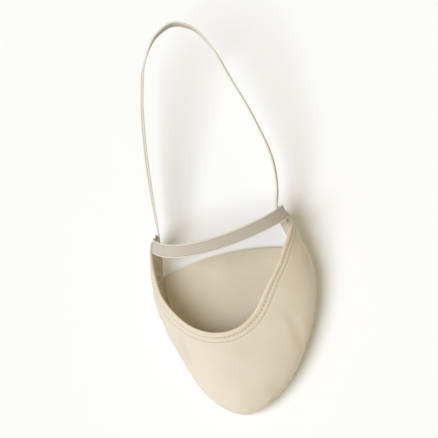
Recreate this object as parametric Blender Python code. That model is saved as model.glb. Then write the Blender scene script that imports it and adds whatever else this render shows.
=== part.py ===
# A left gymnastics half shoe: a thin fabric upper round toe and ball, a suede patch below,
# and two flat elastics that hold it, one over the instep and one round the heel.
# Sizes are in millimetres on the last: s runs back from the toe tip, x is positive
# towards the outer side, and z is the height above the floor.

import math
from collections import namedtuple

import bpy
import numpy as np

MM = 0.001

# The last
SHOE_LENGTH = 112.0  # toe tip to the rear corners of the upper
VAMP_LENGTH = 46.5  # toe tip to the throat
BALL_WIDTH = 94.0  # over the fabric, at the widest section
INSTEP_HEIGHT = 50.0  # crown of the last below the instep elastic
HEEL_LENGTH = 228.0  # toe tip to the back of the heel
HEEL_HEIGHT = 46.0  # heel elastic at the back of the heel
TOE_SPRING = 3.0
TOE_SPRING_RUN = 28.0
ARCH_LIFT = 5.0
ARCH_START = 82.0
TOE_FULLNESS = 2.1  # exponents of the sections: 2 is an ellipse, more is squarer
INNER_FULLNESS = 2.35
OUTER_FULLNESS = 1.85

# Fabric, suede and elastic
WALL = 1.2
HEM_WIDTH = 6.0
HEM_STEP = 0.35  # the hem stands proud of the wall by this, inside and out
GAP = 0.3
FEATHER_INSET = 6.5  # how far the upper turns in underneath
FEATHER_RISE = 0.9
FEATHER_GAP = 0.45  # between the turned-in edge and the outsole
SOLE_THICKNESS = 1.8
SOLE_SIDE_LENGTH = 93.0
SOLE_REAR_BOW = 5.0
INSOLE_THICKNESS = 0.9
INSOLE_INSET = 1.0
STRAP_WIDTH = 8.0
STRAP_THICKNESS = 1.0
INSTEP_STRAP_FOOT = 112.0  # s of the instep elastic at the rear corners
INSTEP_STRAP_TOP = 93.0  # and over the crown
INSTEP_STRAP_OUTER_BOW = 1.5  # it comes forward later on the outer side; 1 is a plain arch
INSTEP_STRAP_TUCK = 25.0  # degrees past the widest point at which its ends stop
INSTEP_STRAP_EASE = 0.8  # room for a flat band inside the round wall
INSTEP_STRAP_LEAVES = 9.0  # degrees up the side at which it leaves the wall
INSTEP_STRAP_LIES = 24.0  # and at which it lies on the last
INSTEP_STRAP_BULGE = 2.6  # how far it bows out over the outer corner
INSTEP_STRAP_BULGE_MIDDLE = 24.0  # degrees up the side at which that is most
INSTEP_STRAP_BULGE_SPREAD = 20.0  # and degrees over which it fades
HEEL_STRAP_START_HEIGHT = 14.5
HEEL_STRAP_CLEARANCE = 0.6  # room between the two elastics where they cross

# How finely the sheets are divided
REAR_RIBS = 14
FAN_RIBS = 46
FAN_START = 68.0
UPPER_ROWS = 14
FEATHER_CROWDING = 1.5  # rows of the upper crowd towards its turned-in edge
HEM_ROWS = 2
SOLE_ROWS = 36
SOLE_COLUMNS = 8
INSTEP_STRAP_STEPS = 56
HEEL_STRAP_STEPS = 96

# Sections of the last: station as a share of SHOE_LENGTH, sides as shares of BALL_WIDTH from
# the centre line, crown, and height of the widest point, as shares of INSTEP_HEIGHT.
Section = namedtuple("Section", "along inner outer crown ridge widest")
LAST = (
    Section(0.00, 0.072, -0.072, 0.100, -0.072, 0.100),
    Section(0.07, 0.240, 0.138, 0.320, -0.075, 0.155),
    Section(0.18, 0.332, 0.272, 0.441, -0.080, 0.195),
    Section(0.34, 0.407, 0.394, 0.517, -0.090, 0.220),
    Section(0.53, 0.467, 0.484, 0.628, -0.120, 0.230),
    Section(0.72, 0.492, 0.508, 0.810, -0.145, 0.225),
    Section(0.88, 0.468, 0.473, 0.985, -0.145, 0.185),
    Section(1.00, 0.434, 0.432, 1.080, -0.130, 0.125),
    Section(1.20, 0.388, 0.382, 1.220, -0.105, 0.100),
)

# The collar: distance behind the throat as a share of what is left of the length, and the
# angle up each side of the section, from 0 at the widest point to 90 on the crown.
Collar = namedtuple("Collar", "behind inner outer")
COLLAR = (
    Collar(0.00, 90.0, 90.0),
    Collar(0.05, 69.5, 75.0),
    Collar(0.14, 55.5, 66.5),
    Collar(0.28, 42.0, 58.5),
    Collar(0.45, 30.5, 48.0),
    Collar(0.64, 22.5, 36.0),
    Collar(0.82, 12.0, 19.0),
    Collar(1.00, 0.0, 0.0),
)

# The heel elastic: its way from the rear corners to the back of the heel, its distance to each
# side there and its rise, as shares of the whole, and how far its upper edge leans in.
HeelTurn = namedtuple("HeelTurn", "along inner outer rise lean")
HEEL_ROUTE = (
    HeelTurn(-0.085, 1.045, 1.035, 0.00, 0.06),
    HeelTurn(0.000, 0.990, 0.975, 0.09, 0.03),
    HeelTurn(0.100, 0.970, 1.055, 0.185, 0.08),
    HeelTurn(0.220, 0.945, 1.090, 0.30, 0.14),
    HeelTurn(0.460, 0.870, 0.945, 0.54, 0.17),
    HeelTurn(0.680, 0.745, 0.715, 0.755, 0.17),
    HeelTurn(0.850, 0.570, 0.525, 0.895, 0.15),
    HeelTurn(0.965, 0.285, 0.270, 0.98, 0.06),
    HeelTurn(1.000, 0.000, 0.000, 1.00, 0.00),
)

Finish = namedtuple("Finish", "colour roughness")
FINISHES = {
    "upper": Finish((0.76, 0.66, 0.50), 0.72),
    "collar_hem": Finish((0.73, 0.62, 0.46), 0.72),
    "outsole": Finish((0.55, 0.46, 0.34), 0.92),
    "insole": Finish((0.72, 0.65, 0.53), 0.90),
    "instep_strap": Finish((0.55, 0.49, 0.42), 0.80),
    "heel_strap": Finish((0.55, 0.49, 0.42), 0.80),
}


def smooth_through(knots, values):
    """A smooth curve through the rows of a table."""
    knots = np.asarray(knots, float)
    values = np.asarray(values, float)
    slopes = np.gradient(values, knots, axis=0)

    def value_at(where):
        low = int(np.clip(np.searchsorted(knots, where) - 1, 0, len(knots) - 2))
        span = knots[low + 1] - knots[low]
        share = (where - knots[low]) / span
        ease = share * share * (3 - 2 * share)
        leave = share * (1 - share) ** 2
        arrive = share * share * (share - 1)
        bend = span * (leave * slopes[low] + arrive * slopes[low + 1])
        return values[low] + ease * (values[low + 1] - values[low]) + bend

    return value_at


def signed_roots(shares):
    """Square roots from the inner end, through zero, to the outer end: they keep a round nose round."""
    roots = [math.sqrt(share) for share in shares]
    return [-root for root in roots[:0:-1]] + roots


last_roots = [math.sqrt(row.along) for row in LAST]
side_of = smooth_through(
    signed_roots([row.along for row in LAST]),
    [-row.inner * BALL_WIDTH for row in LAST[:0:-1]] + [row.outer * BALL_WIDTH for row in LAST],
)
crown_of = smooth_through(last_roots, [row.crown * INSTEP_HEIGHT for row in LAST])
ridge_of = smooth_through(last_roots, [row.ridge * BALL_WIDTH for row in LAST])
widest_of = smooth_through(last_roots, [row.widest * INSTEP_HEIGHT for row in LAST])
collar_angle = smooth_through(
    signed_roots([row.behind for row in COLLAR]),
    [180 - row.inner for row in COLLAR[:0:-1]] + [row.outer for row in COLLAR],
)


def root_of(s):
    return math.sqrt(max(s, 0.0) / SHOE_LENGTH)


def lift(s):
    """Toe spring and arch: how far the underside is off the floor."""
    toe = max(0.0, 1 - s / TOE_SPRING_RUN)
    arch = max(0.0, (s - ARCH_START) / (SHOE_LENGTH - ARCH_START))
    return TOE_SPRING * toe**2 + ARCH_LIFT * arch**2


def half_section(s, outer):
    """Ridge, reach to the side and fullness of one half of the section at s."""
    root = root_of(s)
    ridge = ridge_of(root)
    side = side_of(root) if outer else side_of(-root)
    fullest = OUTER_FULLNESS if outer else INNER_FULLNESS
    fullness = TOE_FULLNESS + (fullest - TOE_FULLNESS) * min(1.0, s / VAMP_LENGTH)
    return ridge, side - ridge, fullness


def height_over(x, s):
    """Height of the last above a point of its plan."""
    root = root_of(s)
    ridge, reach, fullness = half_section(s, x > ridge_of(root))
    share = min(1.0, abs((x - ridge) / reach))
    rise = (1 - share**fullness) ** (1 / fullness)
    return widest_of(root) + (crown_of(root) - widest_of(root)) * rise + lift(s)


def section_point(s, angle):
    """Point of the section at s: 0 is the outer widest point, 90 the crown, 180 the inner
    widest point, and past those the section turns in underneath."""
    outer = angle < 90
    turn = math.radians(angle if outer else 180 - angle)
    root = root_of(s)
    ridge, reach, fullness = half_section(s, outer)
    widest = widest_of(root)
    if turn < 0:
        inset = math.copysign(FEATHER_INSET * (1 - math.cos(turn)), reach)
        height = FEATHER_RISE + (widest - FEATHER_RISE) * (1 + math.sin(turn))
        return np.array((ridge + reach - inset, s, height + lift(s)))
    across = abs(math.cos(turn)) ** (2 / fullness)
    up = math.sin(turn) ** (2 / fullness)
    height = widest + (crown_of(root) - widest) * up
    return np.array((ridge + reach * across, s, height + lift(s)))


def outline_point(root):
    """Widest outline in plan, from the inner corner at -1, round the toe at 0, to the outer at 1."""
    return np.array((side_of(root), SHOE_LENGTH * root * root))


def outline_inset(root, inset):
    """Plan point that lies in from the outline by the inset."""
    step = 1e-3
    run = outline_point(root + step) - outline_point(root - step)
    inward = np.array((-run[1], run[0])) / np.linalg.norm(run)
    return outline_point(root) + inset * inward


def collar_station(root):
    return VAMP_LENGTH + (SHOE_LENGTH - VAMP_LENGTH) * root * root


def collar_point(root):
    return section_point(collar_station(root), collar_angle(root))


def along_path(points):
    steps = np.linalg.norm(np.diff(points, axis=0), axis=1)
    return np.concatenate(([0.0], np.cumsum(steps)))


def resample(points, start, stop, count, crowding=1.0):
    """Points of a path between two distances along it, even or crowded towards the start."""
    points = np.asarray(points)
    travelled = along_path(points)
    wanted = start + (stop - start) * np.linspace(0, 1, count) ** crowding
    return np.stack([np.interp(wanted, travelled, axis) for axis in points.T], axis=1)


def even_roots(curve, limit, count):
    """Parameters that divide a curve from -limit to limit into equal lengths."""
    roots = np.linspace(-limit, limit, 401)
    travelled = along_path(np.array([curve(root) for root in roots]))
    return np.interp(np.linspace(0, travelled[-1], count), travelled, roots)


def underturn(root, count=9):
    """Rib from the feather edge underneath out to the widest point."""
    edge = outline_inset(root, FEATHER_INSET)
    side = outline_point(root)
    widest = widest_of(abs(root))
    points = []
    for turn in np.linspace(0, math.pi / 2, count):
        x, s = edge + (side - edge) * math.sin(turn)
        height = FEATHER_RISE + (widest - FEATHER_RISE) * (1 - math.cos(turn))
        points.append((x, s, height + lift(s)))
    return points


def rear_rib(s, inner):
    """Rib of a rear quarter, up the section from the widest point to the collar."""
    collar_root = math.sqrt((s - VAMP_LENGTH) / (SHOE_LENGTH - VAMP_LENGTH))
    top = collar_angle(-collar_root if inner else collar_root)
    angles = np.linspace(180 if inner else 0, top, 25)[1:]
    foot = underturn(-root_of(s) if inner else root_of(s))
    return np.array(foot + [tuple(section_point(s, angle)) for angle in angles])


def fan_rib(root, collar_root):
    """Rib of the toe, straight in plan from the widest outline to the throat."""
    side = outline_point(root)
    throat = collar_point(collar_root)
    points = underturn(root)
    for turn in np.linspace(0, math.pi / 2, 41)[1:-1]:
        x, s = side + (throat[:2] - side) * (1 - math.cos(turn))
        points.append((x, s, height_over(x, s)))
    return np.array(points + [tuple(throat)])


def upper_ribs():
    """Ribs from the inner rear corner round the toe to the outer rear corner."""
    stations = np.linspace(SHOE_LENGTH, FAN_START, REAR_RIBS, endpoint=False)
    fan_roots = even_roots(outline_point, root_of(FAN_START), FAN_RIBS)
    collar_limit = math.sqrt((FAN_START - VAMP_LENGTH) / (SHOE_LENGTH - VAMP_LENGTH))
    collar_roots = even_roots(collar_point, collar_limit, FAN_RIBS)
    ribs = [rear_rib(s, True) for s in stations]
    ribs += [fan_rib(root, collar_root) for root, collar_root in zip(fan_roots, collar_roots)]
    ribs += [rear_rib(s, False) for s in stations[::-1]]
    return ribs


def add_sheet(name, rows, thickness, offset):
    """A sheet of a real thickness, laid on the rows from inside (-1), about them (0) or outside (1)."""
    rows = np.asarray(rows)
    count, width = rows.shape[:2]
    faces = []
    for i in range(count - 1):
        for j in range(width - 1):
            corner = i * width + j
            faces.append((corner, corner + width, corner + width + 1, corner + 1))
    mesh = bpy.data.meshes.new(name)
    mesh.from_pydata((rows.reshape(-1, 3) * MM).tolist(), [], faces)
    mesh.shade_smooth()
    piece = bpy.data.objects.new(name, mesh)
    bpy.context.scene.collection.objects.link(piece)
    wall = piece.modifiers.new("thickness", "SOLIDIFY")
    wall.thickness = thickness * MM
    wall.offset = offset
    wall.use_even_offset = True
    mesh.materials.append(add_material(name))
    return piece


def add_material(name):
    finish = FINISHES[name]
    material = bpy.data.materials.new(name)
    material.use_nodes = True
    shader = material.node_tree.nodes["Principled BSDF"]
    shader.inputs["Base Color"].default_value = (*finish.colour, 1.0)
    shader.inputs["Roughness"].default_value = finish.roughness
    shader.inputs["Metallic"].default_value = 0.0
    return material


def add_upper(ribs):
    rows = []
    for rib in ribs:
        length = along_path(rib)[-1]
        top = length - HEM_WIDTH - GAP
        rows.append(resample(rib, 0.0, top, UPPER_ROWS + 1, FEATHER_CROWDING))
    return add_sheet("upper", rows, WALL, -1.0)


def add_collar_hem(ribs):
    rows = []
    for rib in ribs:
        length = along_path(rib)[-1]
        rows.append(resample(rib, length - HEM_WIDTH, length, HEM_ROWS + 1))
    thickness = WALL + 2 * HEM_STEP
    outside = HEM_STEP / thickness
    return add_sheet("collar_hem", rows, thickness, 2 * outside - 1)


def add_footbed(name, inset, bottom, thickness):
    """A patch inside the feather edge, with toe spring, arch and a bowed rear edge."""
    rows = []
    roots = np.linspace(0.03, root_of(SOLE_SIDE_LENGTH), SOLE_ROWS + 1)
    for root in roots:
        inner = outline_inset(-root, FEATHER_INSET + inset)
        outer = outline_inset(root, FEATHER_INSET + inset)
        row = []
        for across in np.linspace(0, 1, SOLE_COLUMNS + 1):
            x, s = inner + (outer - inner) * across
            bow = SOLE_REAR_BOW * 4 * across * (1 - across)
            s += bow * (root / roots[-1]) ** 6
            row.append((x, s, bottom + lift(s)))
        rows.append(row[::-1])
    return add_sheet(name, rows, thickness, 1.0)


def add_band(name, path, outward):
    """A flat elastic along a path, its face turned to the outward direction at each point."""
    forward = np.gradient(path, axis=0)
    across = np.cross(outward, forward)
    across /= np.linalg.norm(across, axis=1, keepdims=True)
    half = across * STRAP_WIDTH / 2
    return add_sheet(name, np.stack([path - half, path + half], axis=1), STRAP_THICKNESS, 0.0)


def add_instep_strap():
    """The elastic over the instep: it lies on the last, and its ends tuck inside the corners."""

    def on_last(angle, shift=0.0):
        rise = max(0.0, math.sin(math.radians(angle)))
        if angle < 90:
            rise **= INSTEP_STRAP_OUTER_BOW
        s = INSTEP_STRAP_FOOT - (INSTEP_STRAP_FOOT - INSTEP_STRAP_TOP) * rise
        return section_point(s + shift, angle)

    angles = np.linspace(-INSTEP_STRAP_TUCK, 180 + INSTEP_STRAP_TUCK, 361)
    coarse = np.array([on_last(angle) for angle in angles])
    travelled = along_path(coarse)
    even = np.linspace(0, travelled[-1], INSTEP_STRAP_STEPS + 1)
    angles = np.interp(even, travelled, angles)
    path = np.array([on_last(angle) for angle in angles])
    back = np.array([on_last(angle, 1.0) - on_last(angle, -1.0) for angle in angles])
    outward = np.cross(back, np.gradient(path, axis=0))
    outward /= np.linalg.norm(outward, axis=1, keepdims=True)
    tucked = WALL + HEM_STEP + GAP + INSTEP_STRAP_EASE + STRAP_THICKNESS / 2
    lying = WALL - STRAP_THICKNESS / 2
    span = INSTEP_STRAP_LIES - INSTEP_STRAP_LEAVES
    share = np.clip((np.minimum(angles, 180 - angles) - INSTEP_STRAP_LEAVES) / span, 0, 1)
    up = share * share * (3 - 2 * share)
    bulge = np.exp(-(((angles - INSTEP_STRAP_BULGE_MIDDLE) / INSTEP_STRAP_BULGE_SPREAD) ** 2))
    depth = tucked + (lying - tucked) * up - INSTEP_STRAP_BULGE * up * bulge
    return add_band("instep_strap", path - depth[:, None] * outward, outward)


def add_heel_strap():
    """The elastic round the heel: it starts inside the corners, under the instep elastic."""
    instep_depth = WALL + HEM_STEP + GAP + INSTEP_STRAP_EASE + STRAP_THICKNESS
    depth = instep_depth + HEEL_STRAP_CLEARANCE + STRAP_THICKNESS / 2
    run = HEEL_LENGTH - STRAP_THICKNESS / 2 - SHOE_LENGTH
    climb = HEEL_HEIGHT - HEEL_STRAP_START_HEIGHT
    stops = []
    for side, turns in ((1, HEEL_ROUTE), (-1, HEEL_ROUTE[-2::-1])):
        reach = side_of(side) - side * depth
        for turn in turns:
            x = reach * (turn.outer if side > 0 else turn.inner)
            s = SHOE_LENGTH + run * turn.along
            height = HEEL_STRAP_START_HEIGHT + climb * turn.rise
            stops.append((x, s, height, turn.lean))
    stops = np.array(stops)
    travelled = along_path(stops[:, :3])
    curve = smooth_through(travelled, stops)
    fine = np.array([curve(where) for where in np.linspace(0, travelled[-1], 601)])
    even = resample(fine, 0.0, along_path(fine)[-1], HEEL_STRAP_STEPS + 1)
    path = even[:, :3]
    outward = np.cross(np.gradient(path, axis=0), (0.0, 0.0, 1.0))
    outward /= np.linalg.norm(outward, axis=1, keepdims=True)
    outward[:, 2] += even[:, 3]
    return add_band("heel_strap", path, outward)


def stand_on_floor(pieces):
    """Carries every piece on an empty that puts the middle of their box over the origin."""
    bpy.context.view_layer.update()
    graph = bpy.context.evaluated_depsgraph_get()
    corners = np.array([corner[:] for piece in pieces for corner in piece.evaluated_get(graph).bound_box])
    low = corners.min(axis=0)
    high = corners.max(axis=0)
    frame = bpy.data.objects.new("half_shoe", None)
    bpy.context.scene.collection.objects.link(frame)
    frame.location = (-(low[0] + high[0]) / 2, -(low[1] + high[1]) / 2, -low[2])
    for piece in pieces:
        piece.parent = frame


def main():
    for old in list(bpy.data.objects):
        bpy.data.objects.remove(old)
    ribs = upper_ribs()
    stand_on_floor(
        (
            add_upper(ribs),
            add_collar_hem(ribs),
            add_footbed("outsole", FEATHER_GAP, 0.0, SOLE_THICKNESS),
            add_footbed("insole", INSOLE_INSET, SOLE_THICKNESS + GAP, INSOLE_THICKNESS),
            add_instep_strap(),
            add_heel_strap(),
        )
    )


main()
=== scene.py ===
import math

import bmesh
import bpy
import numpy as np
from mathutils import Matrix, Vector


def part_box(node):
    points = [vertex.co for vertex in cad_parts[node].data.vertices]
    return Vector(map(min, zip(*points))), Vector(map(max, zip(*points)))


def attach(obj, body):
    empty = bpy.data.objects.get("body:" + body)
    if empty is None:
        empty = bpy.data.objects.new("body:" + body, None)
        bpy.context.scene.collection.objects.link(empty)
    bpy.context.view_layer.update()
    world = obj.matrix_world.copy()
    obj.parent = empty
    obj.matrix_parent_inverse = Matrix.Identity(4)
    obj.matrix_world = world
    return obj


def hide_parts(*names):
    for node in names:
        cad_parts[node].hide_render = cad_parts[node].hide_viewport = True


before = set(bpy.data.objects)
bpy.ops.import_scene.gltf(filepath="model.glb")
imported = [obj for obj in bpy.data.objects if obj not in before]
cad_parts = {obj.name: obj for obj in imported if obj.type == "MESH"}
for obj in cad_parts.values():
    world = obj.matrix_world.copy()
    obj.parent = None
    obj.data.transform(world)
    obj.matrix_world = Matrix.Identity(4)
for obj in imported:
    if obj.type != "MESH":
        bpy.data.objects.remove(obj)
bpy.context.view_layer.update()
scene = bpy.context.scene
print("frame loaded:", sorted(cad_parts))

# the last, in millimetres: s runs back from the toe tip, x is positive to the outer side
lastShape = {
    "length": 112.0, "vamp": 46.5, "ballWidth": 94.0, "instep": 50.0,
    "heelLength": 228.0, "heelHeight": 46.0,
    "toeSpring": 3.0, "toeSpringRun": 28.0, "archLift": 5.0, "archStart": 82.0,
    "toeFull": 2.1, "innerFull": 2.35, "outerFull": 1.85,
    "turnIn": 6.5, "turnRise": 0.9, "fanStart": 68.0,
    "underSteps": 19, "wallSteps": 61, "fanSteps": 91, "tableSteps": 1601, "tableReach": 1.08,
    "sections": (  # along, inner, outer, crown, ridge, widest
        (0.00, 0.072, -0.072, 0.100, -0.072, 0.100),
        (0.07, 0.240, 0.138, 0.320, -0.075, 0.155),
        (0.18, 0.332, 0.272, 0.441, -0.080, 0.195),
        (0.34, 0.407, 0.394, 0.517, -0.090, 0.220),
        (0.53, 0.467, 0.484, 0.628, -0.120, 0.230),
        (0.72, 0.492, 0.508, 0.810, -0.145, 0.225),
        (0.88, 0.468, 0.473, 0.985, -0.145, 0.185),
        (1.00, 0.434, 0.432, 1.080, -0.130, 0.125),
        (1.20, 0.388, 0.382, 1.220, -0.105, 0.100),
    ),
    "collar": (  # behind the throat, angle up the inner side, angle up the outer side
        (0.00, 90.0, 90.0), (0.05, 69.5, 75.0), (0.14, 55.5, 66.5), (0.28, 42.0, 58.5),
        (0.45, 30.5, 48.0), (0.64, 22.5, 36.0), (0.82, 12.0, 19.0), (1.00, 0.0, 0.0),
    ),
}


def curveThrough(knots, values):  # smooth curve through a table's rows
    knots = np.asarray(knots, float)
    values = np.asarray(values, float)
    slopes = np.gradient(values, knots, axis=0)

    def at(where):
        where = np.asarray(where, float)
        low = np.clip(np.searchsorted(knots, where) - 1, 0, len(knots) - 2)
        span = knots[low + 1] - knots[low]
        share = (where - knots[low]) / span
        if values.ndim > 1:
            share = share[..., None]
            span = span[..., None]
        ease = share * share * (3 - 2 * share)
        bend = share * (1 - share) ** 2 * slopes[low] + share * share * (share - 1) * slopes[low + 1]
        return values[low] + ease * (values[low + 1] - values[low]) + span * bend

    return at


def signedRoots(shares):
    roots = np.sqrt(shares)
    return np.concatenate((-roots[:0:-1], roots))


def easeIn(low, high, value):  # 0 below low, 1 above high
    share = np.clip((np.asarray(value, float) - low) / (high - low), 0, 1)
    return share * share * (3 - 2 * share)


sections = np.array(lastShape["sections"])
collarRows = np.array(lastShape["collar"])
lastRoots = np.sqrt(sections[:, 0])
sideOf = curveThrough(
    signedRoots(sections[:, 0]),
    np.concatenate((-sections[:0:-1, 1], sections[:, 2])) * lastShape["ballWidth"],
)
crownOf = curveThrough(lastRoots, sections[:, 3] * lastShape["instep"])
ridgeOf = curveThrough(lastRoots, sections[:, 4] * lastShape["ballWidth"])
widestOf = curveThrough(lastRoots, sections[:, 5] * lastShape["instep"])
collarAngle = curveThrough(
    signedRoots(collarRows[:, 0]),
    np.concatenate((180 - collarRows[:0:-1, 1], collarRows[:, 2])),
)


def rootOf(s):
    return np.sqrt(np.maximum(s, 0) / lastShape["length"])


def lift(s):  # toe spring and arch
    toe = np.maximum(0, 1 - s / lastShape["toeSpringRun"])
    arch = np.maximum(0, (s - lastShape["archStart"]) / (lastShape["length"] - lastShape["archStart"]))
    return lastShape["toeSpring"] * toe**2 + lastShape["archLift"] * arch**2


def halfSection(s, outer):
    root = rootOf(s)
    ridge = ridgeOf(root)
    side = np.where(outer, sideOf(root), sideOf(-root))
    full = np.where(outer, lastShape["outerFull"], lastShape["innerFull"])
    fullness = lastShape["toeFull"] + (full - lastShape["toeFull"]) * np.minimum(1, s / lastShape["vamp"])
    return ridge, side - ridge, fullness


def heightOver(x, s):
    root = rootOf(s)
    ridge, reach, fullness = halfSection(s, x > ridgeOf(root))
    share = np.minimum(1, np.abs((x - ridge) / reach))
    rise = (1 - share**fullness) ** (1 / fullness)
    return widestOf(root) + (crownOf(root) - widestOf(root)) * rise + lift(s)


def sectionPoint(s, angle):  # 0 outer widest point, 90 crown, 180 inner widest point
    s, angle = np.broadcast_arrays(np.asarray(s, float), np.asarray(angle, float))
    outer = angle < 90
    turn = np.radians(np.where(outer, angle, 180 - angle))
    root = rootOf(s)
    ridge, reach, fullness = halfSection(s, outer)
    widest = widestOf(root)
    up = np.maximum(np.sin(turn), 0) ** (2 / fullness)
    across = np.abs(np.cos(turn)) ** (2 / fullness)
    inset = np.copysign(lastShape["turnIn"] * (1 - np.cos(turn)), reach)
    under = lastShape["turnRise"] + (widest - lastShape["turnRise"]) * (1 + np.sin(turn))
    x = np.where(turn < 0, ridge + reach - inset, ridge + reach * across)
    z = np.where(turn < 0, under, widest + (crownOf(root) - widest) * up)
    return np.stack((x, s, z + lift(s)), axis=-1)


def outlinePoint(root):
    root = np.asarray(root, float)
    return np.stack((sideOf(root), lastShape["length"] * root * root), axis=-1)


def outlineInset(root, inset, nudge=1e-3):
    run = outlinePoint(root + nudge) - outlinePoint(root - nudge)
    inward = np.stack((-run[..., 1], run[..., 0]), axis=-1) / np.linalg.norm(run, axis=-1, keepdims=True)
    return outlinePoint(root) + inset * inward


def collarPoint(root):
    s = lastShape["vamp"] + (lastShape["length"] - lastShape["vamp"]) * root * root
    return sectionPoint(s, collarAngle(root))


def alongPath(points):
    steps = np.linalg.norm(np.diff(points, axis=0), axis=1)
    return np.concatenate(([0.0], np.cumsum(steps)))


def resample(points, wanted):
    travelled = alongPath(points)
    return np.stack([np.interp(wanted, travelled, axis) for axis in points.T], axis=1)


def evenRoots(curve, limit, count, fine=801):  # roots at even steps along a curve
    roots = np.linspace(-limit, limit, fine)
    travelled = alongPath(curve(roots))
    return np.interp(np.linspace(0, travelled[-1], count), travelled, roots)


def unit(vectors):
    return vectors / np.linalg.norm(vectors, axis=-1, keepdims=True)


def underturn(root):  # the edge that is turned in underneath
    turn = np.linspace(0, math.pi / 2, lastShape["underSteps"])
    edge = outlineInset(np.float64(root), lastShape["turnIn"])
    plan = edge + (outlinePoint(root) - edge) * np.sin(turn)[:, None]
    widest = widestOf(abs(root))
    height = lastShape["turnRise"] + (widest - lastShape["turnRise"]) * (1 - np.cos(turn))
    return np.column_stack((plan, height + lift(plan[:, 1])))


def rearRib(s, inner):  # straight up the section, beside the collar
    collarRoot = math.sqrt((s - lastShape["vamp"]) / (lastShape["length"] - lastShape["vamp"]))
    top = float(collarAngle(-collarRoot if inner else collarRoot))
    angles = np.linspace(180 if inner else 0, top, lastShape["wallSteps"])[1:]
    root = -rootOf(s) if inner else rootOf(s)
    return root, np.concatenate((underturn(root), sectionPoint(s, angles)))


def fanRib(root, collarRoot):  # from the toe's outline to the throat
    turn = np.linspace(0, math.pi / 2, lastShape["fanSteps"])[1:-1]
    side = outlinePoint(root)
    throat = collarPoint(np.float64(collarRoot))
    plan = side + (throat[:2] - side) * (1 - np.cos(turn))[:, None]
    wall = np.column_stack((plan, heightOver(plan[:, 0], plan[:, 1])))
    return root, np.concatenate((underturn(root), wall, throat[None]))


def shoeRibs(rearCount, fanCount):
    stations = np.linspace(lastShape["length"], lastShape["fanStart"], rearCount, endpoint=False)
    fan = evenRoots(outlinePoint, rootOf(lastShape["fanStart"]), fanCount)
    behind = (lastShape["fanStart"] - lastShape["vamp"]) / (lastShape["length"] - lastShape["vamp"])
    throat = evenRoots(collarPoint, math.sqrt(behind), fanCount)
    pairs = [rearRib(s, True) for s in stations]
    pairs += [fanRib(root, collarRoot) for root, collarRoot in zip(fan, throat)]
    pairs += [rearRib(s, False) for s in stations[::-1]]
    return np.array([root for root, rib in pairs]), [rib for root, rib in pairs]


outlineTable = np.linspace(-lastShape["tableReach"], lastShape["tableReach"], lastShape["tableSteps"])
outlineRun = alongPath(outlinePoint(outlineTable))
outlineRun -= np.interp(0, outlineTable, outlineRun)


def arcOf(side, s):  # way round the outline from the toe tip, negative on the inner side
    return np.interp(side * rootOf(s), outlineTable, outlineRun)


upperLow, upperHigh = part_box("upper")
frameShift = np.array((  # from the last's own frame to the row's
    (upperLow.x + upperHigh.x) / 2 * 1000 - (sideOf(outlineTable).max() + sideOf(outlineTable).min()) / 2,
    upperLow.y * 1000,
    0.0,
))


def inMetres(points):
    return (np.asarray(points) + frameShift) * 0.001


print("last worked out, shift in mm:", frameShift.round(2))


# mesh makers: every piece is a closed body


def makeObject(name, points, faces, uvs=None, masks=None):
    mesh = bpy.data.meshes.new(name)
    mesh.from_pydata(inMetres(points).tolist(), [], faces)
    work = bmesh.new()
    work.from_mesh(mesh)
    bmesh.ops.recalc_face_normals(work, faces=work.faces)
    work.to_mesh(mesh)
    work.free()
    mesh.shade_smooth()
    if uvs is not None:
        layer = mesh.uv_layers.new(name="run")
        loops = np.zeros(len(mesh.loops), int)
        mesh.loops.foreach_get("vertex_index", loops)
        layer.data.foreach_set("uv", np.asarray(uvs, float)[loops].ravel())
    for label, values in (masks or {}).items():
        layer = mesh.attributes.new(label, "FLOAT", "POINT")
        layer.data.foreach_set("value", np.asarray(values, float).ravel())
    piece = bpy.data.objects.new(name, mesh)
    scene.collection.objects.link(piece)
    return piece


def shell(name, outside, inside, masks=None):  # two grids joined round their rim
    rows, columns = outside.shape[:2]
    points = np.concatenate((outside.reshape(-1, 3), inside.reshape(-1, 3)))
    count = rows * columns
    faces = []
    for i in range(rows - 1):
        for j in range(columns - 1):
            a = i * columns + j
            faces.append((a, a + columns, a + columns + 1, a + 1))
            faces.append((count + a, count + a + 1, count + a + columns + 1, count + a + columns))
    rim = [(i, 0) for i in range(rows)] + [(rows - 1, j) for j in range(1, columns)]
    rim += [(i, columns - 1) for i in range(rows - 2, -1, -1)] + [(0, j) for j in range(columns - 2, 0, -1)]
    rim = [i * columns + j for i, j in rim]
    for a, b in zip(rim, rim[1:] + rim[:1]):
        faces.append((a, count + a, count + b, b))
    both = {label: np.tile(values.ravel(), 2) for label, values in (masks or {}).items()}
    return makeObject(name, points, faces, masks=both)


def loft(name, rings, uvs=None, masks=None):  # closed rings along a path, with both ends capped
    count, around = rings.shape[:2]
    faces = []
    for i in range(count - 1):
        for j in range(around):
            k = (j + 1) % around
            faces.append((i * around + j, (i + 1) * around + j, (i + 1) * around + k, i * around + k))
    faces.append(tuple(range(around)))
    faces.append(tuple(range((count - 1) * around, count * around)))
    return makeObject(name, rings.reshape(-1, 3), faces, uvs, masks)


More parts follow.
